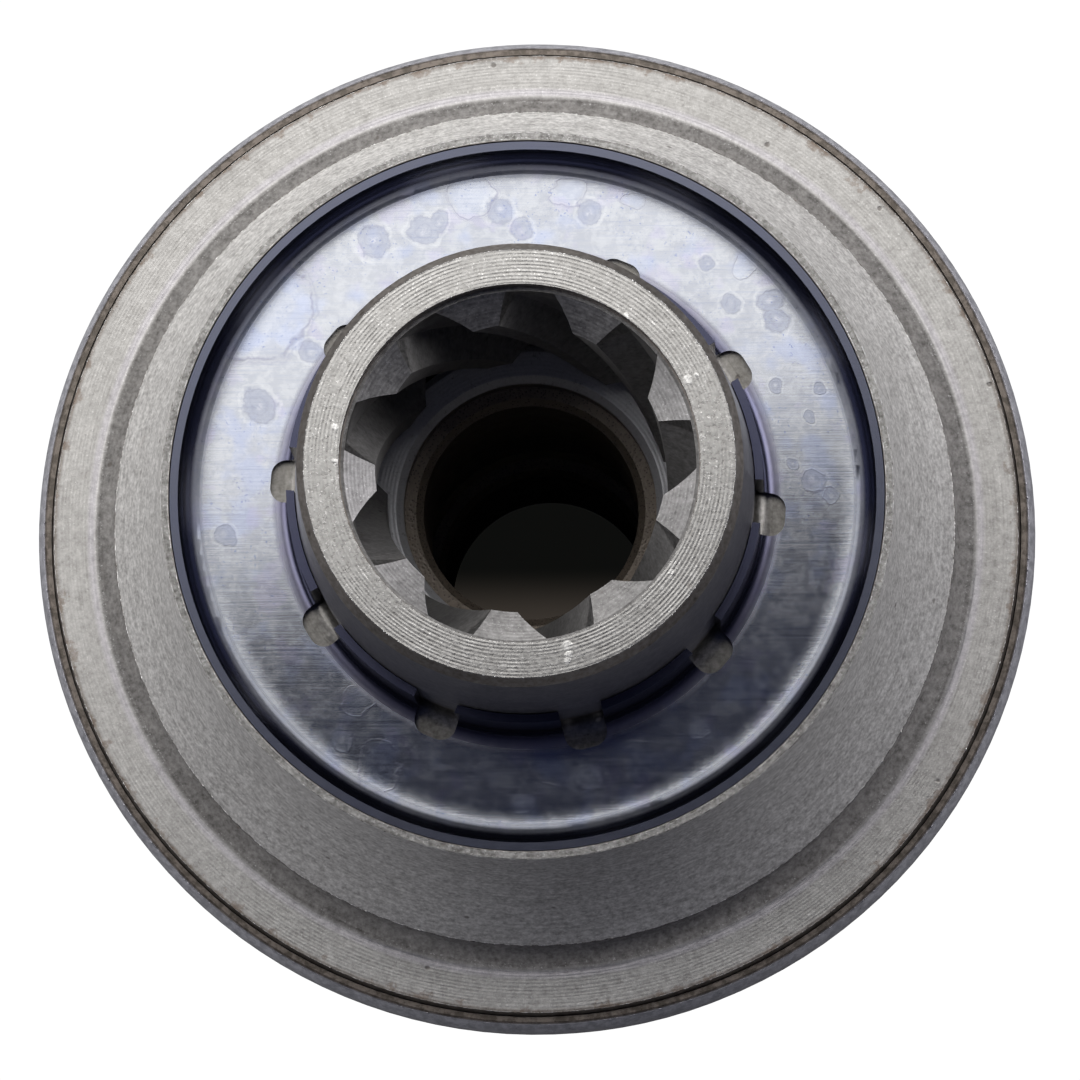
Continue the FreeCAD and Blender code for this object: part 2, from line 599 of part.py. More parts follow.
def make_spring(index):
    """The coil spring between the plunger and the end of its bore."""
    name = f"spring_{index + 1}"
    body = doc.addObject("PartDesign::Body", name)
    wire = sketch_on(body, "XY_Plane", f"{name}_wire")
    centre = FreeCAD.Vector(number("spring_x"), number("coil_r"), 0)
    wire.addGeometry(Part.Circle(centre, FreeCAD.Vector(0, 0, 1), number("spring_wire_r")), False)
    pin_point(wire, 0, 3, "spring_x", "coil_r")
    hold(wire, "Radius", (0,), "spring_wire_r")
    coil = body.newObject("PartDesign::AdditiveHelix", f"{name}_coil")
    coil.Profile = wire
    coil.ReferenceAxis = (wire, ["H_Axis"])
    coil.Mode = "pitch-height-angle"
    bind(coil, Pitch="spring_length / spring_turns", Height="spring_length")
    return in_cell(body, index)


def make_cells():
    """Roller, plunger and spring of every cell."""
    pieces = []
    for index in range(round(number("roller_count"))):
        pieces += [make_roller(index), make_plunger(index), make_spring(index)]
    return pieces


def check_cuts(body):
    """Stop if a cut removed nothing, or a pattern less than its originals times its copies."""
    removed = {}
    for feature in body.Group:
        before = getattr(feature, "BaseFeature", None)
        if not before:
            continue
        removed[feature.Name] = before.Shape.Volume - feature.Shape.Volume
        expected = 0.01
        if feature.isDerivedFrom("PartDesign::PolarPattern"):
            each = sum(removed[original.Name] for original in feature.Originals)
            expected = 0.999 * each * (feature.Occurrences - 1)
        if not removed[feature.Name] > expected:
            raise SystemExit(f"{feature.Name} cuts {removed[feature.Name]:.2f}, not {expected:.2f} mm3")


def check_and_write(pieces):
    """Stop on a failed object or a bad shape, then write each piece."""
    for thing in doc.Objects:
        if "Invalid" in thing.State or "Error" in thing.State:
            raise SystemExit(f"{thing.Name} failed: {thing.State}")
    for piece in pieces:
        if piece.Shape.isNull() or not piece.Shape.isValid():
            raise SystemExit(f"{piece.Label} has a bad shape")
        if piece.isDerivedFrom("PartDesign::Body"):
            check_cuts(piece)
    os.makedirs("parts", exist_ok=True)
    for piece in pieces:
        piece.Shape.exportStep(f"parts/{piece.Label}.step")
        box = piece.Shape.BoundBox
        print(f"{piece.Label:18s} {piece.Shape.Volume:9.1f} mm3, z {box.ZMin:6.2f} to {box.ZMax:6.2f}")


pieces = [
    make_clutch_driver(),
    make_cover_shell(),
    make_retaining_cup(),
    make_pinion(),
    make_bush("pinion_bush_front", "bush_inset"),
    make_bush("pinion_bush_rear", "tail_top_z - bush_inset - bush_length"),
    ring("cover_plate", "wall_r - cover_corner", "race_r + run_gap", "plate_z", "plate_t"),
    ring("seal_ring", "cover_hole_r - play", "neck_r + run_gap", "cover_z", "cover_wall"),
    make_half_washer(0),
    make_half_washer(1),
] + make_cells()
doc.recompute()
check_and_write(pieces)
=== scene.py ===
# %% [markdown]
# Starter drive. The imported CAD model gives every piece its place, in metres, with Z along
# the shaft and the sleeve on top. This lesson dresses it: each piece of steel gets the
# finish of the way it was made, and what a lathe leaves behind, such as burrs, is added
# as thin meshes of its own.

import math
from types import SimpleNamespace

import bpy
import numpy as np
from mathutils import Matrix, Vector


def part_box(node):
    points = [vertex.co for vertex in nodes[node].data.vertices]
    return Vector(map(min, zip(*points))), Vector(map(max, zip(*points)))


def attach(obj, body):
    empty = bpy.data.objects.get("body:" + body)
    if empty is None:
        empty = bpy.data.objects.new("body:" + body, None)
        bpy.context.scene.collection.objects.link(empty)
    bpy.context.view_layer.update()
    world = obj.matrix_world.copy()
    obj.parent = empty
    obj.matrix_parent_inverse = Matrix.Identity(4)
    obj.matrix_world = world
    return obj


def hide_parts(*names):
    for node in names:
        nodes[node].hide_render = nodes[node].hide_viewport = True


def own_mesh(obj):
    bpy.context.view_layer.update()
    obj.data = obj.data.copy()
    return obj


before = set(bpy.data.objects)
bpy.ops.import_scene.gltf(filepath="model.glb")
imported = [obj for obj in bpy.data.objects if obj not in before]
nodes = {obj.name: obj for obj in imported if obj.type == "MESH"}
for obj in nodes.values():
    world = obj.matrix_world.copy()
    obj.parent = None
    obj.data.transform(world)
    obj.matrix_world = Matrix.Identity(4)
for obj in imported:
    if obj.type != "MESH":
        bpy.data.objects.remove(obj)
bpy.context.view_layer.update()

# %% [markdown]
# The finish changes from one turned face to the next, so the heights and radii of those
# faces are needed. They come from the boxes of the nodes and a few offsets.

# %% Places on the drive
MM = 0.001
LIP_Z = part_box("cover_shell")[1].z        # top of the cover's rolled edge
RING_Z = LIP_Z + 0.7 * MM                 # flat ring of the driver
STEP_Z = RING_Z + 2.0 * MM                # top of the step, where the hub starts
RIM_Z = STEP_Z + 14.0 * MM                # end of the hub, edge of its recess
FLOOR_Z = RIM_Z - 2.0 * MM                # floor of the cup
FACE_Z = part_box("clutch_driver")[1].z     # end of the sleeve
TAIL_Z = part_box("pinion")[1].z            # end of the pinion's tail, deep in the sleeve
COVER_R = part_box("cover_shell")[1].x
LIP_R = COVER_R - 0.58 * MM
RING_R = COVER_R - 1.07 * MM
STEP_R = RING_R - 3.7 * MM
RIM_R = 20.0 * MM                         # mouth of the recess
FACE_R = 11.67 * MM                       # outer edge of the sleeve's end
BORE_R = 9.8 * MM                         # counterbore at the sleeve's end
print(f"ring at {RING_Z / MM:.1f}, cup floor at {FLOOR_Z / MM:.1f}, "
      f"sleeve end at {FACE_Z / MM:.1f} mm")

# %% [markdown]
# Shader maths reads best as plain formulas. A `Wire` wraps an output socket, and its
# operators add the Math nodes.


# %% Wires
class Wire:
    """An output socket that can stand in a formula."""

    def __init__(self, finish, socket):
        self.finish, self.socket = finish, socket

    def math(self, operation, *others):
        return self.finish.node("Math", {"operation": operation}, [self, *others])

    def __add__(self, other):
        return self.math("ADD", other)

    def __mul__(self, other):
        return self.math("MULTIPLY", other)

    def __sub__(self, other):
        return self.math("SUBTRACT", other)

    def __truediv__(self, other):
        return self.math("DIVIDE", other)

    __radd__ = __add__
    __rmul__ = __mul__

    def __rsub__(self, other):
        return self.finish.node("Math", {"operation": "SUBTRACT"}, [other, self])

    def __rtruediv__(self, other):
        return self.finish.node("Math", {"operation": "DIVIDE"}, [other, self])

    def __abs__(self):
        return self.math("ABSOLUTE")

    def clip(self):
        return self.finish.node("Clamp", {}, [self, 0.0, 1.0])


# %% [markdown]
# A `Finish` is one material. It holds the node tree, has one method that adds any node, and
# names the few patterns that every finish here is made of: a soft ramp, a band, noise of a
# given size in metres, and the distance from the shaft.


# %% Finishes
class Finish:
    """One material with a Principled shader."""

    def __init__(self, name, **settings):
        self.material = bpy.data.materials.new(name)
        self.material.use_nodes = True
        self.tree = self.material.node_tree
        self.shader = self.tree.nodes["Principled BSDF"]
        for socket, value in settings.items():
            self.shader.inputs[socket.replace("_", " ")].default_value = value
        self.place = self.node("TexCoord", {}, [], "Object")

    def node(self, kind, settings, inputs, output=0):
        """Add a node, set it up, fill its inputs with values or wires, return an output."""
        made = self.tree.nodes.new("ShaderNode" + kind)
        for name, value in settings.items():
            setattr(made, name, value)
        pairs = inputs.items() if isinstance(inputs, dict) else enumerate(inputs)
        for key, value in pairs:
            if isinstance(value, Wire):
                self.tree.links.new(value.socket, made.inputs[key])
            elif value is not None:
                made.inputs[key].default_value = value
        return Wire(self, made.outputs[output])

    def vectors(self, operation, inputs, output=0):
        return self.node("VectorMath", {"operation": operation}, inputs, output)

    def mix(self, factor, first, second):
        """Mix two colours."""
        first, second = (value if isinstance(value, Wire) else (*value, 1.0)
                         for value in (first, second))
        return self.node("Mix", {"data_type": "RGBA"}, {0: factor, 6: first, 7: second}, 2)

    def ramp(self, value, low, high):
        """0 below low, 1 above high, smooth between."""
        return self.node("MapRange", {"interpolation_type": "SMOOTHSTEP"},
                         [value, low, high, 0.0, 1.0])

    def band(self, value, low, high, soft):
        """1 between low and high, with soft edges."""
        rise = self.ramp(value, low - soft, low + soft)
        return rise * (1 - self.ramp(value, high - soft, high + soft))

    def noise(self, size, detail=2.0, where=None, rough=0.5, output=0):
        """Noise round 0.5 with features of this size in metres."""
        inputs = {"Vector": where or self.place, "Scale": 1.0 / size,
                  "Detail": detail, "Roughness": rough}
        return self.node("TexNoise", {}, inputs, output)

    def cells(self, size, where=None):
        """Distance to the nearest of many scattered points, this far apart in metres."""
        return self.node("TexVoronoi", {}, {"Vector": where or self.place, "Scale": 1 / size})

    def stretched(self, *factors):
        """The place with its axes scaled, which draws a pattern out along the small ones."""
        return self.vectors("MULTIPLY", [self.place, factors])

    def warped(self, size, amount):
        """The place, moved about by noise of this size and amount."""
        push = self.noise(size, 3.0, output=1)
        push = self.vectors("SUBTRACT", [push, (0.5, 0.5, 0.5)])
        push = self.vectors("SCALE", {0: push, 3: amount})
        return self.vectors("ADD", [self.place, push])

    def polar(self):
        """Distance from the axis, the two parts of the direction, and the height."""
        radius = self.vectors("LENGTH", [self.stretched(1, 1, 0)], "Value")
        split = self.node("SeparateXYZ", {}, [self.place])
        x, y, z = (Wire(self, socket) for socket in split.socket.node.outputs)
        return radius, x / radius, y / radius, z

    def vector(self, x, y, z):
        return self.node("CombineXYZ", {}, [x, y, z])

    def nearest(self, where, height, spots):
        """Least distance to any spot (x, y, radius in mm), counted in that spot's radius."""
        least = None
        for x, y, radius in spots:
            far = self.vectors("DISTANCE", [where, (x * MM, y * MM, height)], "Value")
            far = far * (1 / (radius * MM))
            least = far if least is None else least.math("MINIMUM", far)
        return least

    def feed(self, socket, wire):
        """Link a wire to an input of the shader."""
        self.tree.links.new(wire.socket, self.shader.inputs[socket])

    def bump(self, height, depth):
        """Bump from a height in 0 to 1 that stands for this depth in metres."""
        inputs = {"Strength": 1.0, "Distance": depth, "Height": height}
        self.feed("Normal", self.node("Bump", {}, inputs))


def dress(finish, *names):
    """Give CAD nodes this finish in their slots."""
    for name in names:
        for slot in nodes[name].material_slots:
            slot.material = finish.material
    print(f"{finish.material.name}: {', '.join(names)}")


# %% [markdown]
# The driver is one turned forging, but its finish changes from face to face: flat faces and
# the hub are bright, bevels are brown, and the sleeve's wall is smooth and violet-grey. The
# step and the ring beside its fillet are painted dark brown, a painted shade of the step's
# corner. Each face gets a mask, 1 on the face and 0 off it, from its height and radius. One
# material then serves the whole piece, without cutting it up.


# %% Masks of the driver's faces
def driver_faces(steel):
    """Masks for the faces of the driver. Each is a band of height times a band of radius."""
    radius, _, _, z = steel.polar()
    on = SimpleNamespace()
    on.ring = steel.band(z, RING_Z - 0.10 * MM, RING_Z + 0.10 * MM, 0.04 * MM)
    on.face = steel.ramp(z, FACE_Z - 0.12 * MM, FACE_Z - 0.04 * MM)
    cone_heights = steel.band(z, FACE_Z - 2.1 * MM, FACE_Z - 0.9 * MM, 0.03 * MM)
    on.cone = cone_heights * (1 - steel.ramp(radius, BORE_R - 0.10 * MM, BORE_R - 0.05 * MM))
    hub_heights = steel.band(z, STEP_Z - 0.03 * MM, RIM_Z + 0.5 * MM, 0.03 * MM)
    on.hub = hub_heights * steel.ramp(radius, RIM_R - 0.05 * MM, RIM_R + 0.05 * MM)
    step_heights = steel.band(z, RING_Z - 0.05 * MM, STEP_Z - 0.05 * MM, 0.02 * MM)
    # the step mask reaches past the fillet onto the ring, as far as the painted shade of the
    # step's corner lies
    beyond_fillet = steel.ramp(radius, STEP_R + 1.08 * MM, STEP_R + 1.36 * MM)
    on.step = (step_heights + on.ring).clip() * (1 - beyond_fillet)
    on.plate = steel.ramp(z, RIM_Z - 0.06 * MM, RIM_Z - 0.02 * MM) * on.hub
    on.taper = steel.ramp(radius, RING_R - 0.26 * MM, RING_R - 0.08 * MM)
    on.edge = steel.ramp(radius, RING_R - 1.1 * MM, RING_R) * on.ring
    sheen = steel.band(radius, STEP_R + 1.35 * MM, STEP_R + 1.75 * MM, 0.15 * MM)
    on.sheen = sheen * on.ring
    wall_heights = steel.band(z, FLOOR_Z + 1.0 * MM, FACE_Z - 0.72 * MM, 0.08 * MM)
    on.wall = wall_heights * steel.band(radius, 11.9 * MM, 13.2 * MM, 0.05 * MM)
    below_cone = 1 - steel.ramp(z, FACE_Z - 2.2 * MM, FACE_Z - 2.0 * MM)
    on.bore = (1 - steel.ramp(radius, BORE_R - 0.10 * MM, BORE_R + 0.05 * MM)) * below_cone
    under_floor = 1 - steel.ramp(z, FLOOR_Z + 0.3 * MM, FLOOR_Z + 0.5 * MM)
    on.slots = under_floor * (1 - steel.ramp(radius, 16 * MM, 17 * MM))
    return on


# %% [markdown]
# The lathe leaves a fine spiral on each face. A sine of the radius, or of the height on the
# hub, makes the lines. Its phase drifts with noise so that no two look the same, and it
# fades in places, as where the tool cut clean. Noise that is stretched along the lines adds
# the streaks between them.

# %% Marks of the lathe
RING_PITCH = 0.20 * MM
HUB_PITCH = 0.50 * MM
STREAK_WIDTH = 0.10 * MM


def lathe_marks(steel):
    """Lines of the tool: sines of the radius and of the height, with a drifting phase."""
    radius, east, north, z = steel.polar()
    spiral = steel.vector(east * 0.9, north * 0.9, (radius + z * 0.7) * (1 / (0.9 * MM)))
    drift = steel.noise(1.0, 3.0, spiral)
    thread = steel.vector(east * 3.5, north * 3.5, (radius + z) * (1 / STREAK_WIDTH))
    fade = steel.ramp(steel.noise(2.2 * MM, 3.0, None, 0.6), 0.30, 0.62) * 0.75 + 0.25
    groove = (radius * (2 * math.pi / RING_PITCH) + drift * 9.0).math("SINE")
    climb = (z * (2 * math.pi / HUB_PITCH) + drift * 7.0).math("SINE")
    return SimpleNamespace(
        groove=groove * 0.5 * fade + 0.5,
        climb=climb * 0.5 + 0.5,
        streak=steel.noise(1.0, 3.0, thread))


# %% [markdown]
# Steel that was forged and turned is grainy at every scale. Noise of four sizes gives the
# cloudy tone, the mottle, the grain and the crumbs, and ramps of it pick out the bright torn
# points, which are partly painted glints, and the dark spots and the pits. A few larger nicks
# on the sleeve's end are listed one by one; their bright colour is partly painted highlight.

# %% Grain of the driver
NICKS = [(2.62, -9.95, 0.30), (2.66, -10.4, 0.26), (2.60, -10.8, 0.20),
         (9.1, 4.5, 0.26), (9.6, 4.8, 0.16), (5.8, 8.0, 0.18),
         (-9.95, 2.0, 0.20), (-9.9, 0.1, 0.16), (8.2, -6.0, 0.14)]


def driver_grain(steel, on, streak):
    """Noise from coarse to fine, and the flaws that are picked out of it."""
    cloud = steel.noise(5 * MM, 4.0, None, 0.6)
    mottle = steel.noise(0.70 * MM, 4.0, None, 0.7)
    grain = steel.noise(0.26 * MM, 3.0, None, 0.65)
    crumb = steel.noise(0.12 * MM, 2.0, None, 0.6)
    spark = steel.ramp(crumb + (streak - 0.5) * 0.25, 0.60, 0.74)
    spots = steel.ramp(steel.noise(0.9 * MM, 4.0, None, 0.6), 0.67, 0.75)
    pits = steel.cells(2.6 * MM, steel.warped(0.6 * MM, 0.2 * MM))
    pits = (1 - steel.ramp(pits, 0.035, 0.080)) * (1 - on.face)
    rust = steel.noise(1.3 * MM, 5.0, None, 0.7) + on.edge * 0.16
    nick = steel.nearest(steel.warped(0.30 * MM, 0.45 * MM), FACE_Z, NICKS)
    return SimpleNamespace(
        cloud=cloud, mottle=mottle, grain=grain, crumb=crumb, spark=spark, spots=spots,
        pits=pits, rust=steel.ramp(rust, 0.68, 0.76),
        nick=(1 - steel.ramp(nick, 0.35, 1.15)) * on.face)


# %% [markdown]
# The colour is painted in layers, as on a bench: first brown forging scale everywhere, then
# each cut face over it, then light and shade of the grain, and last rust, spots, pits and
# nicks.


# %% Colour of the driver
def driver_colour(steel, on, marks, bits):
    """The layers of the driver's colour, from the scale up to the nicks."""
    brown = steel.mix(bits.cloud, (0.190, 0.155, 0.130), (0.270, 0.230, 0.200))
    flat = steel.mix(bits.cloud, (0.375, 0.362, 0.342), (0.470, 0.455, 0.435))
    skin = steel.mix(bits.cloud, (0.560, 0.545, 0.520), (0.680, 0.665, 0.640))
    step_shade = steel.mix(steel.ramp(bits.mottle, 0.35, 0.65),
                     (0.050, 0.042, 0.036), (0.088, 0.077, 0.067))
    colour = brown
    for mask, paint in (
        ((on.ring + on.face).clip(), flat),
        (on.face, (0.345, 0.335, 0.320)),
        (on.cone, (0.120, 0.116, 0.118)),
        (on.slots, (0.120, 0.108, 0.088)),
        (on.hub, skin),
        (on.wall, (0.330, 0.325, 0.360)),
        # painted shade: the rim plate at the mouth of the recess is painted nearly as dark as
        # the recess
        (on.plate * 0.9, (0.13, 0.125, 0.12)),
        (on.bore, (0.125, 0.120, 0.120)),
        (on.sheen * 0.45, (0.60, 0.56, 0.64)),
        # painted shade: the step and the ring next to its fillet are painted dark brown, the
        # shade of the step's corner
        (on.step, step_shade),
        (on.taper * (1 - on.hub) * 0.9, (0.150, 0.118, 0.095)),
    ):
        colour = steel.mix(mask, colour, paint)

    shade = (bits.mottle - 0.5) * 0.80 + (bits.grain - 0.5) * 1.20
    shade = shade + (marks.streak - 0.5) * 0.35
    shade = shade * (1 + on.hub * 0.9) + 0.5
    lines = on.face * 0.16 + on.ring * 0.10 + on.cone * 0.2
    shade = shade + (marks.groove - 0.5) * lines + (marks.climb - 0.5) * on.hub * 0.10
    dark = steel.mix(0.50, colour, (0.07, 0.065, 0.06))
    light = steel.mix(0.28, colour, (1.0, 0.99, 0.96))
    colour = steel.mix(shade.clip(), dark, light)
    # Bright torn points: partly bare torn metal, partly painted glints.
    torn = on.ring * 0.30 + on.face * 0.45 + on.hub * 0.40 + on.cone * 0.2
    for mask, paint in (
        (bits.spark * torn, (1.0, 0.99, 0.97)),
        (bits.rust * 0.45, (0.16, 0.105, 0.07)),
        (bits.spots * 0.28, (0.15, 0.12, 0.10)),
        (bits.pits * 0.60, (0.07, 0.055, 0.045)),
        # The nicks are painted nearly white: partly bare metal, partly painted highlight.
        (bits.nick * 0.50, (1.0, 0.99, 0.96)),
    ):
        colour = steel.mix(mask, colour, paint)
    return colour


# %% [markdown]
# The hub, the step and the bore carry a dull oxide skin, so they are only partly metallic and
# take an even light, while the cut faces stay metal. The relief is that of the marks and the
# grain, less than three hundredths of a millimetre deep.

# %% Turned steel
TURNED_DEPTH = 0.028 * MM


def turned_steel():
    """The finish of the driver: masks, marks and grain, joined in colour and relief."""
    steel = Finish("turned_steel", Specular_IOR_Level=0.1)
    on = driver_faces(steel)
    marks = lathe_marks(steel)
    bits = driver_grain(steel, on, marks.streak)
    steel.feed("Base Color", driver_colour(steel, on, marks, bits))
    metal = 1 - on.hub * 0.60 + on.plate * 0.60 - on.step - on.bore * 0.5
    steel.feed("Metallic", metal.clip())
    rough = 0.41 + on.hub * 0.18 - on.plate * 0.18 + on.step * 0.30
    rough = rough - on.face * 0.12 + on.cone * 0.10
    rough = rough - bits.spark * 0.06 + (bits.grain - 0.5) * 0.20 + bits.spots * 0.12
    steel.feed("Roughness", rough.clip())
    height = marks.groove * (on.ring * 0.09 + on.face * 0.15 + on.cone * 0.12)
    height = height + marks.climb * on.hub * 0.06 + bits.mottle * 0.10
    height = height + marks.streak * 0.14 + bits.grain * 0.20 + bits.crumb * 0.14
    height = height - bits.pits * 0.4 + bits.nick * 0.20
    steel.bump(height, TURNED_DEPTH)
    return steel


dress(turned_steel(), "clutch_driver")

# %% [markdown]
# The cup is blued spring steel: rolled sheet with fine straight brush lines along X, tempered
# until a thin oxide grew. The floor is a dull mirror: pale where it faces the light and navy
# where it faces the dark. Its zones, from the outside in, are the outer bend, a ring where
# the bend starts, the floor, the root of the fingers and the fingers. The outer bend and the
# fingers are painted near black, painted shade for the dark they mirror; the ring where the
# bend starts and the root of the fingers are painted darker, painted shade that dims their
# highlights.


# %% Zones of the cup
def cup_zones(blue, radius):
    """Masks for the rings of the cup, each a ramp or a band of the radius."""
    return SimpleNamespace(
        bend=blue.ramp(radius, 18.65 * MM, 18.95 * MM),
        turn=blue.band(radius, 18.25 * MM, 18.85 * MM, 0.12 * MM),
        floor=blue.band(radius, 14.15 * MM, 18.80 * MM, 0.12 * MM),
        root=blue.band(radius, 13.55 * MM, 14.15 * MM, 0.25 * MM),
        fingers=1 - blue.ramp(radius, 13.45 * MM, 14.05 * MM))


# %% [markdown]
# Drying drops have marked the floor since. A drop leaves a grey patch with a darker outline,
# and a larger one a tide line, so each stain is a distance round its centre, bent by noise
# and cut into rings. The places are listed, because stains gather where liquid stood.

# %% Stains on the cup
DROPS = [(-8.7, 14.6, 0.95), (-5.9, 15.2, 0.85), (-5.0, 15.7, 0.6), (-15.1, 5.3, 1.0),
         (-12.0, 8.4, 0.75), (3.5, 16.1, 0.75), (-1.6, 16.3, 0.85), (-0.4, 15.2, 0.7),
         (11.3, 11.0, 0.60), (13.6, 11.1, 0.80), (13.9, 10.0, 0.75), (16.0, 1.0, 0.75),
         (16.9, 0.1, 0.5), (14.8, 1.8, 0.38), (13.9, 6.3, 0.42), (16.4, 6.2, 0.36),
         (15.8, 4.6, 0.40), (10.0, 13.4, 0.45), (-10.3, -13.5, 0.7), (-0.2, -17.0, 0.7),
         (3.4, -15.8, 0.8), (9.6, -13.0, 0.7), (-16.9, -2.0, 0.6)]
TIDES = [(-15.2, 10.9, 3.3), (-8.5, -15.1, 1.35), (1.2, -14.6, 1.25), (2.3, 17.4, 0.9),
         (5.9, 16.9, 0.6), (12.1, 13.3, 0.8), (-9.4, -11.3, 0.9), (6.3, -14.9, 1.1),
         (-3.2, 17.2, 1.5)]


def cup_stains(blue, floor, fine, mottle):
    """Rings round the drops and the tide lines, cut from their distances."""
    drops = blue.nearest(blue.warped(1.7 * MM, 1.0 * MM), FLOOR_Z, DROPS)
    drops = drops + (fine - 0.5) * 0.55
    tides = blue.nearest(blue.warped(2.2 * MM, 2.0 * MM), FLOOR_Z, TIDES)
    tides = tides + (fine - 0.5) * 0.10
    broken = blue.ramp(mottle, 0.30, 0.50)
    return SimpleNamespace(
        fill=(1 - blue.ramp(drops, 0.75, 1.0)) * floor,
        rim=blue.band(drops, 0.84, 0.94, 0.07) * floor,
        inner=blue.band(drops, 0.46, 0.54, 0.06) * floor,
        halo=blue.band(drops, 1.08, 1.25, 0.08) * floor,
        core=(1 - blue.ramp(drops, 0.10, 0.42)) * floor,
        tide=blue.band(tides, 0.925, 0.975, 0.035) * floor * broken,
        trail=blue.band(tides, 1.02, 1.05, 0.025) * floor,
        wash=(1 - blue.ramp(tides, 0.55, 1.0)) * floor)


# %% [markdown]
# The oxide is not even: milky, blue and violet clouds lie over the grey, with dark blue
# specks between. The floor's edge lifts a little towards the outer bend. That is too small
# for the CAD model, but a mirror shows it as a bright line, so it is part of the relief.

# %% Blued steel
BLUED_DEPTH = 0.006 * MM
DISH_START, DISH_WIDTH = 17.4 * MM, 1.3 * MM


def blued_steel():
    """The finish of the cup: oxide clouds, brush lines, stains, and bends and fingers painted
    dark as shade.
    """
    blue = Finish("blued_steel", Metallic=1.0)
    radius, _, _, _ = blue.polar()
    on = cup_zones(blue, radius)
    fine = blue.noise(0.30 * MM, 4.0, None, 0.7)
    brush = blue.noise(0.13 * MM, 3.0, blue.stretched(0.030, 1.0, 1.0), 0.65)
    mottle = blue.noise(0.9 * MM, 5.0, blue.warped(1.2 * MM, 0.7 * MM), 0.7)
    milk = blue.ramp(mottle, 0.42, 0.60)
    azure = blue.ramp(blue.noise(2.4 * MM, 3.0), 0.52, 0.68)
    violet = blue.noise(1.9 * MM, 3.0, blue.warped(2.0 * MM, 1.0 * MM))
    crowd = blue.ramp(blue.noise(2.2 * MM, 2.0), 0.42, 0.60)
    specks = blue.ramp(blue.noise(0.15 * MM, 2.0), 0.64, 0.72) * crowd
    stain = cup_stains(blue, on.floor, fine, mottle)

    colour = blue.mix(blue.noise(4 * MM, 4.0, None, 0.55),
                      (0.275, 0.286, 0.315), (0.345, 0.356, 0.380))
    for mask, paint in (
        (milk * 0.30, (0.50, 0.51, 0.52)),
        (azure * 0.45, (0.29, 0.33, 0.47)),
        (blue.ramp(violet, 0.56, 0.68) * 0.35, (0.33, 0.31, 0.43)),
        (stain.wash * 0.25, (0.34, 0.38, 0.50)),
        (stain.fill * (0.25 + fine * 0.45), (0.24, 0.26, 0.33)),
        (stain.core * blue.ramp(fine, 0.42, 0.58) * 0.5, (0.50, 0.50, 0.52)),
        ((stain.rim * 0.40 + stain.inner * 0.22).clip(), (0.16, 0.17, 0.23)),
        (stain.halo * 0.16, (0.56, 0.57, 0.57)),
        ((stain.tide * 0.55 + stain.trail * 0.30).clip(), (0.19, 0.19, 0.26)),
        (specks * on.floor * 0.60, (0.10, 0.14, 0.30)),
        ((abs(brush - 0.5) * 2.6).clip() * 0.45, (0.17, 0.20, 0.30)),
        # painted shade: the ring where the bend starts, the outer bend, the fingers and their
        # root are painted dark, to dim their highlights and show the dark they mirror
        (on.turn * 0.35, (0.12, 0.13, 0.18)),
        (on.bend * 0.94, (0.070, 0.075, 0.105)),
        (on.fingers * 0.94, (0.040, 0.042, 0.075)),
        (on.root * 0.55, (0.13, 0.12, 0.19)),
    ):
        colour = blue.mix(mask, colour, paint)
    blue.feed("Base Color", colour)

    rough = 0.125 + on.turn * 0.16 + on.root * 0.20 + stain.fill * 0.03 + stain.tide * 0.04
    rough = rough + (fine - 0.5) * 0.04 + (brush - 0.5) * 0.06 + milk * 0.012
    blue.feed("Roughness", (rough + (on.bend + on.fingers) * 0.12).clip())
    dish = ((radius - DISH_START) * (1 / DISH_WIDTH)).clip()
    height = dish * dish * 8.5 + brush * 0.15 + fine * 0.06
    height = height + stain.rim * 0.10 + stain.tide * 0.15
    blue.bump(height, BLUED_DEPTH)
    return blue


dress(blued_steel(), "retaining_cup")

# %% [markdown]
# The hidden pieces have the plain finishes of stamped, ground and pressed steel: cloudy
# colour, fine grain, and dark specks in the hollows of the grain. One function makes them
# all, and the finishes after it start from it too.


# %% Stamped, ground and pressed steel
def plain_steel(name, dark, light, roughness, grain_size, depth=0.006, draw=0.0):
    """Steel with cloudy colour and fine grain; draw adds upright marks."""
    steel = Finish(name, Metallic=1.0)
    grain = steel.noise(grain_size, 4.0, None, 0.7)
    low = tuple(0.35 * value for value in dark)
    colour = steel.mix(steel.noise(5 * MM, 4.0, None, 0.6), dark, light)
    colour = steel.mix(steel.ramp(grain, 0.60, 0.75) * 0.5, colour, low)
    if draw:
        marks = steel.noise(0.35 * MM, 3.0, steel.stretched(1.0, 1.0, 0.04), 0.6)
        colour = steel.mix((abs(marks - 0.5) * 2).clip() * draw, colour, low)
    steel.feed("Base Color", colour)
    steel.feed("Roughness", (roughness + (grain - 0.5) * 0.25).clip())
    steel.bump(grain, depth * MM)
    return steel


dress(plain_steel("stamped_steel", (0.40, 0.40, 0.41), (0.52, 0.52, 0.53), 0.35, 0.4 * MM),
      "cover_plate", "half_washer_1", "half_washer_2")
dress(plain_steel("ground_steel", (0.55, 0.55, 0.56), (0.68, 0.68, 0.69), 0.2, 0.3 * MM),
      *[f"roller_{i}" for i in range(1, 6)])
dress(plain_steel("pressed_steel", (0.45, 0.45, 0.46), (0.60, 0.60, 0.60), 0.3, 0.3 * MM),
      *[f"plunger_{i}" for i in range(1, 6)])

# %% [markdown]
# The cover was drawn from sheet, so its skin is smooth, lavender-grey, with faint upright
# draw marks. Its edge was then spun in over the driver: the bead outside is matt and light,
# and the part that is rolled in has gone brown.


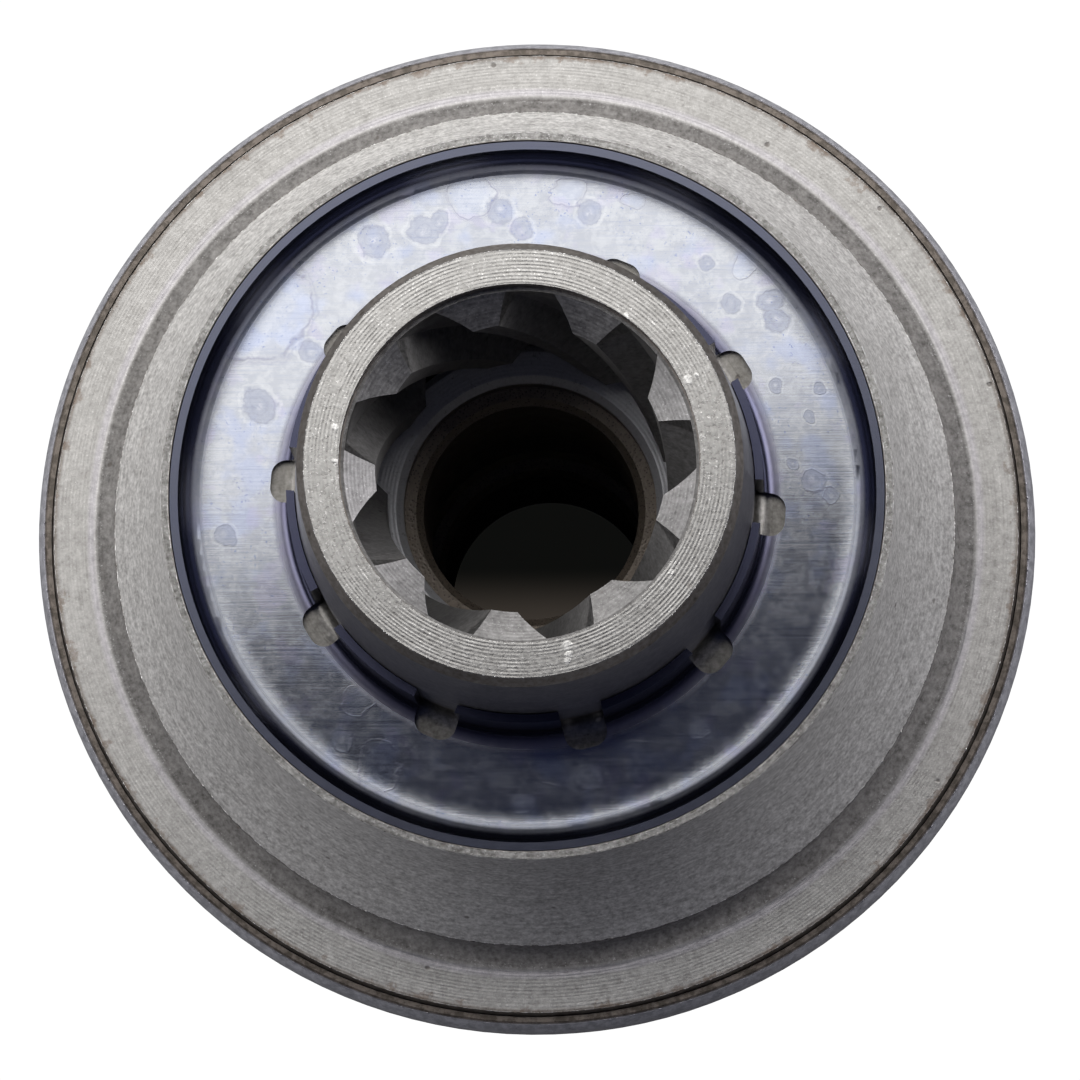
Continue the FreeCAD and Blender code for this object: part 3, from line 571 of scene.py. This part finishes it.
# %% Drawn steel
def drawn_steel():
    """Drawn sheet below, and above it the matt bead with its brown rolled-in part."""
    steel = plain_steel("drawn_steel", (0.34, 0.33, 0.36), (0.52, 0.51, 0.55),
                        0.32, 0.5 * MM, 0.008, 0.6)
    skin = Wire(steel, steel.shader.inputs["Base Color"].links[0].from_socket)
    radius, _, _, z = steel.polar()
    top = steel.ramp(z, LIP_Z - 2.4 * MM, LIP_Z - 1.9 * MM)
    inside = 1 - steel.ramp(radius, LIP_R + 0.06 * MM, LIP_R + 0.18 * MM)
    patch = steel.noise(0.5 * MM, 4.0, None, 0.7)
    bead = steel.mix(steel.ramp(patch, 0.35, 0.65), (0.32, 0.32, 0.345), (0.52, 0.52, 0.55))
    rolled = steel.mix(steel.ramp(patch, 0.40, 0.60),
                       (0.085, 0.070, 0.055), (0.190, 0.160, 0.135))
    steel.feed("Base Color", steel.mix(top, skin, steel.mix(inside, bead, rolled)))
    steel.feed("Metallic", 1 - top * 0.62)
    return steel


dress(drawn_steel(), "cover_shell")

# %% [markdown]
# The pinion is hardened, so it is darker than the turned steel, with a straw tint. Its tooth
# flanks were hobbed, which leaves fine lines along the tooth, and the end of its tail,
# deep in the sleeve, was turned.

# %% Hardened steel
TAIL_PITCH = 0.22 * MM


def hardened_steel():
    """Straw-tinted steel with hob lines along Z, bright and turned at the tail's end."""
    steel = Finish("hardened_steel", Metallic=1.0)
    radius, _, _, z = steel.polar()
    cloud = steel.noise(4 * MM, 4.0, None, 0.6)
    grain = steel.noise(0.35 * MM, 4.0, None, 0.7)
    hob = steel.noise(0.22 * MM, 3.0, steel.stretched(1.0, 1.0, 0.05), 0.6)
    turn = (radius * (2 * math.pi / TAIL_PITCH) + cloud * 5).math("SINE") * 0.5 + 0.5
    end = steel.ramp(z, TAIL_Z - 0.6 * MM, TAIL_Z - 0.5 * MM)
    colour = steel.mix(cloud, (0.22, 0.20, 0.175), (0.36, 0.335, 0.30))
    colour = steel.mix(end, colour, (0.55, 0.55, 0.57))
    colour = steel.mix((abs(hob - 0.5) * 2).clip() * 0.5, colour, (0.10, 0.095, 0.09))
    colour = steel.mix(steel.ramp(grain, 0.60, 0.72) * 0.5, colour, (0.08, 0.07, 0.06))
    steel.feed("Base Color", colour)
    steel.feed("Metallic", 1 - end * 0.7)
    steel.feed("Roughness", (0.38 + (grain - 0.5) * 0.3).clip())
    steel.bump(grain * 0.5 + hob * 0.3 + turn * end * 0.4, 0.014 * MM)
    return steel


dress(hardened_steel(), "pinion")

# %% [markdown]
# The bushes are sintered bronze: pressed powder full of oil, so the surface is dark, brown
# and porous. Voronoi cells, darkened at their centres, make the pores.


# %% Sintered bronze
def sintered_bronze():
    bronze = Finish("sintered_bronze", Metallic=0.35)
    pores = bronze.cells(0.16 * MM)
    oil = bronze.noise(2.0 * MM, 4.0, None, 0.6)
    colour = bronze.mix(oil, (0.120, 0.100, 0.082), (0.220, 0.180, 0.140))
    hollow = 1 - bronze.ramp(pores, 0.15, 0.40)
    bronze.feed("Base Color", bronze.mix(hollow * 0.7, colour, (0.012, 0.010, 0.008)))
    bronze.feed("Roughness", (0.42 + (oil - 0.5) * 0.4).clip())
    bronze.bump(pores, 0.02 * MM)
    return bronze


dress(sintered_bronze(), "pinion_bush_front", "pinion_bush_rear")

# %% [markdown]
# The seal is black rubber, matt from the mould and clouded by grease.


# %% Seal rubber
def seal_rubber():
    rubber = Finish("seal_rubber", Roughness=0.6)
    cloud = rubber.noise(1.5 * MM, 4.0)
    rubber.feed("Base Color", rubber.mix(cloud, (0.015, 0.015, 0.016), (0.04, 0.04, 0.042)))
    rubber.bump(cloud, 0.02 * MM)
    return rubber


dress(seal_rubber(), "seal_ring")

# %% [markdown]
# Burrs and springs are tubes: a small section carried along a line. Both are computed as a
# grid of points, one ring of the section after the other, and joined by quads.


# %% Tubes from grids of points
def tube_mesh(name, points, material, closed):
    """A mesh from rings of points. A closed tube runs back into itself, an open one is
    capped at both ends."""
    rings, around = points.shape[:2]
    starts = np.arange(rings if closed else rings - 1)
    i, j = np.meshgrid(starts, np.arange(around), indexing="ij")
    after, up = (i + 1) % rings, (j + 1) % around
    quads = np.stack([i * around + j, after * around + j,
                      after * around + up, i * around + up], -1)
    faces = quads.reshape(-1, 4).tolist()
    if not closed:
        last = (rings - 1) * around
        faces += [list(range(around)), list(range(last, last + around))[::-1]]
    mesh = bpy.data.meshes.new(name)
    mesh.from_pydata(points.reshape(-1, 3), [], faces)
    mesh.polygons.foreach_set("use_smooth", np.ones(len(faces), bool))
    mesh.materials.append(material)
    piece = bpy.data.objects.new(name, mesh)
    bpy.context.scene.collection.objects.link(piece)
    return piece


# %% [markdown]
# Where a cutting tool leaves a face it drags a thin, broken edge of metal along. It catches
# the light and makes the edges of the step, the recess and the sleeve sparkle. It is too
# fine for the CAD model. Here it is a hair-thin tube round the axis, whose thickness is
# noise of the angle, so that it swells and nearly vanishes.

# %% Burrs
BURR_STEPS, BURR_SIDES = 2880, 6


def rough_line(angle, waves, seed):
    """Seeded noise round a circle: a sum of sines of whole wave numbers, scaled to 0 to 1."""
    rng = np.random.default_rng(seed)
    counts = rng.integers(waves[0], waves[1], 60)
    phases = rng.uniform(0, 2 * np.pi, 60)
    line = np.sin(np.outer(angle, counts) + phases).sum(1)
    return (line - line.min()) / (line.max() - line.min())


def burr(name, radius, height, size, seed, finish, top=math.inf):
    """A tube round the axis.

    At angle a and turn t of its section, the radius is R + w(a) + s(a) cos t and the height
    is H + s(a) sin t, at most the top. s is noise to the power 3.2 times the size, and w is
    a small wobble of the edge.
    """
    a = np.linspace(0, 2 * np.pi, BURR_STEPS, endpoint=False)
    t = np.linspace(0, 2 * np.pi, BURR_SIDES, endpoint=False)
    s = size * (0.12 + 1.15 * rough_line(a, (40, 900), seed) ** 3.2)[:, None]
    w = size * 0.35 * (rough_line(a, (60, 500), seed + 1)[:, None] - 0.5)
    r = radius + w + s * np.cos(t)
    z = np.minimum(height + s * np.sin(t), top)
    points = np.stack([r * np.cos(a)[:, None], r * np.sin(a)[:, None], z], -1)
    piece = tube_mesh(name, points, finish.material, closed=True)
    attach(piece, "clutch")
    print(f"{name}: {2 * BURR_STEPS * BURR_SIDES} triangles")


def burr_steel():
    """Bright torn steel with darker stretches."""
    steel = Finish("burr_steel", Metallic=1.0)
    patch = steel.noise(0.5 * MM, 3.0, None, 0.6)
    colour = steel.mix(steel.ramp(patch, 0.42, 0.60), (0.20, 0.18, 0.16), (0.93, 0.92, 0.90))
    steel.feed("Base Color", colour)
    steel.feed("Roughness", (0.30 + (patch - 0.5) * 0.4).clip())
    steel.bump(patch, 0.02 * MM)
    return steel


torn = burr_steel()
burr("burr_step", STEP_R, STEP_Z, 0.048 * MM, 11, torn)
burr("burr_ring", RING_R, RING_Z, 0.045 * MM, 21, torn)
burr("burr_hub", RIM_R + 0.4 * MM, RIM_Z, 0.036 * MM, 31, torn)
burr("burr_recess", RIM_R + 0.02 * MM, RIM_Z, 0.050 * MM, 41, torn)
burr("burr_sleeve", FACE_R, FACE_Z - 0.03 * MM, 0.060 * MM, 51, torn, FACE_Z)
burr("burr_bore", BORE_R, FACE_Z - 0.03 * MM, 0.060 * MM, 61, torn, FACE_Z)

# %% [markdown]
# The rolled edge of the cover is not quite even: it was spun over the flange in many small
# bites. Two thin tubes, one on the crest of the lip and one on the outer bead, give it that
# wavy, brighter outline.

# %% Edge of the cover
spun = plain_steel("spun_edge", (0.30, 0.29, 0.32), (0.62, 0.61, 0.66), 0.34, 0.3 * MM, 0.01)
burr("lip_crest", LIP_R + 0.16 * MM, LIP_Z - 0.08 * MM, 0.055 * MM, 71, spun)
burr("lip_edge", COVER_R - 0.16 * MM, LIP_Z - 1.0 * MM, 0.12 * MM, 81, spun)

# %% [markdown]
# A spring that is squeezed can't be a rigid solid, so each one is swept again as a closed
# mesh: a circle carried along a helix from the end of its bore to the plunger. It stands for
# the CAD solid.

# %% Springs behind the plungers
CELLS = 5
CELL_PHASE = math.radians(18)       # angle of the first roller
BORE_TURN = math.radians(90 - 7)    # a bore is square to that radius, less the ramp's slope
ROLLER_R = 18.1 * MM                # circle of the rollers' centres
COIL_R, WIRE_R, TURNS = 1.27 * MM, 0.22 * MM, 5.5
COIL_START, COIL_LENGTH = 5.38 * MM, 6.94 * MM
COIL_RINGS, WIRE_SIDES = 265, 10


def coil_spring(index, finish):
    """A coil along its bore.

    At share u the centre line is the start plus u times the length along the bore, turned
    about it by 2 pi N u at the coil's radius, and the section is a circle of wire radius.
    The sweep's end rings are drawn in to a point, which closes them.
    """
    low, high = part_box(f"spring_{index}")
    cell = CELL_PHASE + 2 * math.pi / CELLS * (index - 1)
    outward = np.array([math.cos(cell), math.sin(cell), 0])
    along = np.array([math.cos(cell + BORE_TURN), math.sin(cell + BORE_TURN), 0])
    across = np.array([-along[1], along[0], 0])
    upright = np.array([0, 0, 1.0])
    roller = ROLLER_R * outward + (low.z + high.z) / 2 * upright
    u = np.linspace(0, 1, COIL_RINGS)[:, None]
    t = np.linspace(0, 2 * np.pi, WIRE_SIDES, endpoint=False)[None, :]
    wire = WIRE_R * np.ones_like(u)
    wire[0] = wire[-1] = 0.001 * WIRE_R
    phase = 2 * np.pi * TURNS * u
    out = COIL_R + wire * np.cos(t)
    rise = COIL_START + COIL_LENGTH * u + wire * np.sin(t)
    points = roller + rise[..., None] * along
    points = points + (out * np.cos(phase))[..., None] * across
    points = points + (out * np.sin(phase))[..., None] * upright
    spring = tube_mesh(f"coil_{index}", points, finish.material, closed=False)
    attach(spring, "clutch")
    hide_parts(f"spring_{index}")
    end = roller + (COIL_START + COIL_LENGTH + WIRE_R) * along
    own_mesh(spring)
    print(f"coil_{index}: {TURNS} turns, starts at {np.round(points.min((0, 1)) / MM, 1)} mm")


drawn_wire = plain_steel("spring_wire", (0.30, 0.30, 0.31), (0.45, 0.45, 0.46), 0.3, 0.2 * MM)
for index in range(1, CELLS + 1):
    coil_spring(index, drawn_wire)

# %% [markdown]
# The stage: a pale floor, lit softly. To the camera it glows evenly, as a light table under a
# masked object does, and in reflections it stays dim. Under the pinion's bore the table
# carries a painted shadow: the little floor that the bore shows is painted dark, with a
# painted brown light at one side where light comes down the bore.

# %% Floor
TABLE_HALF = 0.6


def make_floor():
    """A square table whose finish is emission to the camera and dull grey to all else."""
    corners = TABLE_HALF * np.array([(-1, -1, 0), (1, -1, 0), (1, 1, 0), (-1, 1, 0)])
    mesh = bpy.data.meshes.new("floor")
    mesh.from_pydata(corners, [], [(0, 1, 2, 3)])
    floor = bpy.data.objects.new("floor", mesh)
    bpy.context.scene.collection.objects.link(floor)
    table = Finish("pale_floor", Roughness=1.0)
    radius, _, north, _ = table.polar()
    # painted shadow under the bore, with a painted brown light at one side
    unshaded_table = table.ramp(radius, 9.5 * MM, 10.5 * MM)
    bore_light = 1 - table.ramp(radius * north, -1.6 * MM, 2.4 * MM)
    bore_shadow = table.mix(bore_light, (0.0040, 0.0042, 0.0038), (0.042, 0.035, 0.029))
    colour = table.mix(unshaded_table, bore_shadow, (1, 1, 1))
    seen = table.node("Emission", {}, {"Color": colour, "Strength": 1.05})
    lit = table.node("BsdfDiffuse", {}, {"Color": (0.16, 0.16, 0.16, 1)})
    both = table.node("MixShader", {}, [table.node("LightPath", {}, []), lit, seen])
    table.tree.links.new(both.socket, table.tree.nodes["Material Output"].inputs["Surface"])
    mesh.materials.append(table.material)
    print(f"floor: {2 * TABLE_HALF:.1f} m square")


make_floor()

# %% [markdown]
# The light is that of a small studio. One long panel high on the +Y side is the key: the
# cup's floor mirrors it, and its lower edge is where the floor turns from pale to navy.
# Low panels on both sides and behind lift the hub, and the front stays almost dark.

# %% Lights
LIGHT_AIM = Vector((0, 0, 0.04))


def soft_box(name, azimuth, tilt, distance, size, strength, colour):
    """A rectangular light. Azimuth is counted from +X, tilt from the upright axis."""
    light = bpy.data.lights.new(name, "AREA")
    light.shape = "RECTANGLE"
    light.size, light.size_y = size
    light.energy = strength
    light.color = colour
    lamp = bpy.data.objects.new(name, light)
    bpy.context.scene.collection.objects.link(lamp)
    a, t = math.radians(azimuth), math.radians(tilt)
    out = Vector((math.cos(a) * math.sin(t), math.sin(a) * math.sin(t), math.cos(t)))
    side = Vector((-math.sin(a), math.cos(a), 0))
    turn = Matrix((side, out.cross(side), out)).transposed().to_4x4()
    lamp.matrix_world = Matrix.Translation(LIGHT_AIM + out * distance) @ turn
    print(f"{name}: {strength} W at {distance} m")


soft_box("key_panel", azimuth=103.6, tilt=24.8, distance=0.32, size=(0.42, 0.20),
         strength=0.60, colour=(1.0, 0.99, 0.97))
soft_box("right_fill", azimuth=22, tilt=64, distance=0.45, size=(0.32, 0.22),
         strength=1.15, colour=(0.98, 0.97, 1.0))
soft_box("left_fill", azimuth=180, tilt=66, distance=0.45, size=(0.35, 0.22),
         strength=1.00, colour=(1.0, 0.99, 1.0))
soft_box("back_fill", azimuth=104.6, tilt=78, distance=0.45, size=(0.5, 0.18),
         strength=1.5, colour=(1.0, 0.99, 0.98))
soft_box("front_fill", azimuth=-75, tilt=80, distance=0.45, size=(0.45, 0.12),
         strength=0.08, colour=(0.97, 0.97, 1.0))

# %% [markdown]
# A dim blue world fills what the panels leave dark, so that blued steel has some blue to
# mirror.

# %% World
world = bpy.data.worlds.new("studio")
world.use_nodes = True
sky = world.node_tree.nodes["Background"]
sky.inputs["Color"].default_value = (0.16, 0.19, 0.40, 1)
sky.inputs["Strength"].default_value = 0.13
bpy.context.scene.world = world
print("world: dim blue")

# %% [markdown]
# The camera looks down the shaft, leaning a little to one side, from as far off as the
# shift between the near and the far rings asks for.


# %% Camera
def make_camera():
    """At the photograph's angle: tilted a little from the axis, far off with a long lens."""
    tilt, azimuth = math.radians(7.5), math.radians(-77.0)
    distance, view_width = 0.440, 62.65 * MM
    target = Vector((0.00021, -0.00026, LIP_Z - 1.6 * MM))
    lean = Vector((math.cos(azimuth), math.sin(azimuth), 0))
    back = lean * math.sin(tilt) + Vector((0, 0, math.cos(tilt)))
    up = (Vector((0, 1, 0)) - back * back.y).normalized()
    right = up.cross(back)
    data = bpy.data.cameras.new("camera")
    data.sensor_width = 36.0
    data.lens = data.sensor_width * distance / view_width
    data.clip_start, data.clip_end = 0.01, 10.0
    camera = bpy.data.objects.new("camera", data)
    bpy.context.scene.collection.objects.link(camera)
    turn = Matrix((right, up, back)).transposed().to_4x4()
    camera.matrix_world = Matrix.Translation(target + back * distance) @ turn
    bpy.context.scene.camera = camera
    print(f"camera: {data.lens:.0f} mm lens, {distance} m away")


make_camera()
bpy.context.scene.view_settings.view_transform = "Standard"
